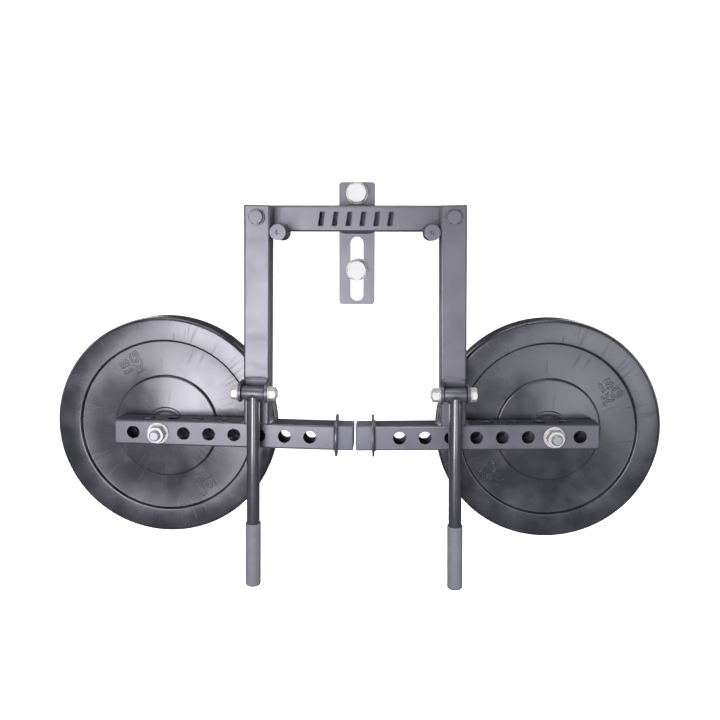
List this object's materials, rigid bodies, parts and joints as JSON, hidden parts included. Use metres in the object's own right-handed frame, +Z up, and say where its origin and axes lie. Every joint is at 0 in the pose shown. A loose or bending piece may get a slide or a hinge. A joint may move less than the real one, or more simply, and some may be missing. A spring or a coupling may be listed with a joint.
{
  "type": "plate-loaded lateral raise attachment",
  "caption": "Rack-mounted pair of swinging plate-loaded lever arms on a crossbar, with hanging handles, for lateral raises.",
  "frame": {"origin": "rear face of the mounting plate, on the axis of the upper rack bolt", "axes": "+X to the right seen from the front, +Y back towards the rack upright, +Z up"},
  "size_m": [1.226, 0.269, 0.7891],
  "materials": {
    "frame_paint": "satin powder coat",
    "zinc": "zinc plated",
    "black_bolt": "satin coated fastener",
    "cap_plastic": "moulded",
    "bumper_rubber": "moulded",
    "bronze": "sintered",
    "post_steel": "plated tube",
    "stem_gloss": "gloss black",
    "grip_rubber": "matte",
    "disc_rubber": "moulded, faint sheen",
    "hub_steel": "turned"
  },
  "bodies": {
    "bracket": {"mount_plate": "frame_paint", "crossbar": "frame_paint", "crossbar_caps": "cap_plastic", "left_stop": "frame_paint", "right_stop": "frame_paint", "rack_bolts": "zinc", "rack_washers": "zinc", "rack_back_washers": "zinc", "rack_nuts": "zinc", "left_pivot_bolt": "black_bolt", "right_pivot_bolt": "black_bolt", "pivot_washers": "black_bolt", "pivot_nuts": "zinc"},
    "left_arm": {"left_arm_post": "frame_paint", "left_arm_cap": "cap_plastic", "left_pivot_sleeve": "frame_paint", "left_pivot_bushes": "bronze", "left_load_bar": "frame_paint", "left_bar_cap": "cap_plastic", "left_end_flange": "frame_paint", "left_bumper": "bumper_rubber", "left_handle_fork": "frame_paint", "left_handle_bolt": "zinc", "left_handle_nut": "zinc", "left_handle_washers": "zinc", "left_plate_post": "post_steel", "left_post_cap": "cap_plastic", "left_post_washer": "zinc", "left_post_nut": "zinc"},
    "left_handle": {"left_handle_barrel": "frame_paint", "left_handle_bushes": "bronze", "left_handle_stem": "stem_gloss", "left_handle_grip": "grip_rubber"},
    "left_disc": {"left_disc_rubber": "disc_rubber", "left_disc_hub": "hub_steel"},
    "right_arm": {"right_arm_post": "frame_paint", "right_arm_cap": "cap_plastic", "right_pivot_sleeve": "frame_paint", "right_pivot_bushes": "bronze", "right_load_bar": "frame_paint", "right_bar_cap": "cap_plastic", "right_end_flange": "frame_paint", "right_bumper": "bumper_rubber", "right_handle_fork": "frame_paint", "right_handle_bolt": "zinc", "right_handle_nut": "zinc", "right_handle_washers": "zinc", "right_plate_post": "post_steel", "right_post_cap": "cap_plastic", "right_post_washer": "zinc", "right_post_nut": "zinc"},
    "right_handle": {"right_handle_barrel": "frame_paint", "right_handle_bushes": "bronze", "right_handle_stem": "stem_gloss", "right_handle_grip": "grip_rubber"},
    "right_disc": {"right_disc_rubber": "disc_rubber", "right_disc_hub": "hub_steel"}
  },
  "joints": [
    {"name": "left_arm_raise", "type": "hinge", "parent": "bracket", "child": "left_arm", "pos_m": [-0.185, -0.085, -0.051], "axis": [0, 1, 0], "range_deg": [0, 90]},
    {"name": "left_handle_swing", "type": "hinge", "parent": "left_arm", "child": "left_handle", "pos_m": [-0.19134, -0.146, -0.38094], "axis": [-0.9998, 0, 0.0192], "range_deg": [-10, 90]},
    {"name": "left_disc_slide", "type": "slide", "parent": "left_arm", "child": "left_disc", "axis": [0, 1, 0], "range_m": [0, 0.15]},
    {"name": "right_arm_raise", "type": "hinge", "parent": "bracket", "child": "right_arm", "pos_m": [0.185, -0.085, -0.051], "axis": [0, -1, 0], "range_deg": [0, 90]},
    {"name": "right_handle_swing", "type": "hinge", "parent": "right_arm", "child": "right_handle", "pos_m": [0.19134, -0.146, -0.38094], "axis": [-0.9998, 0, -0.0192], "range_deg": [-10, 90]},
    {"name": "right_disc_slide", "type": "slide", "parent": "right_arm", "child": "right_disc", "axis": [0, 1, 0], "range_m": [0, 0.15]}
  ]
}
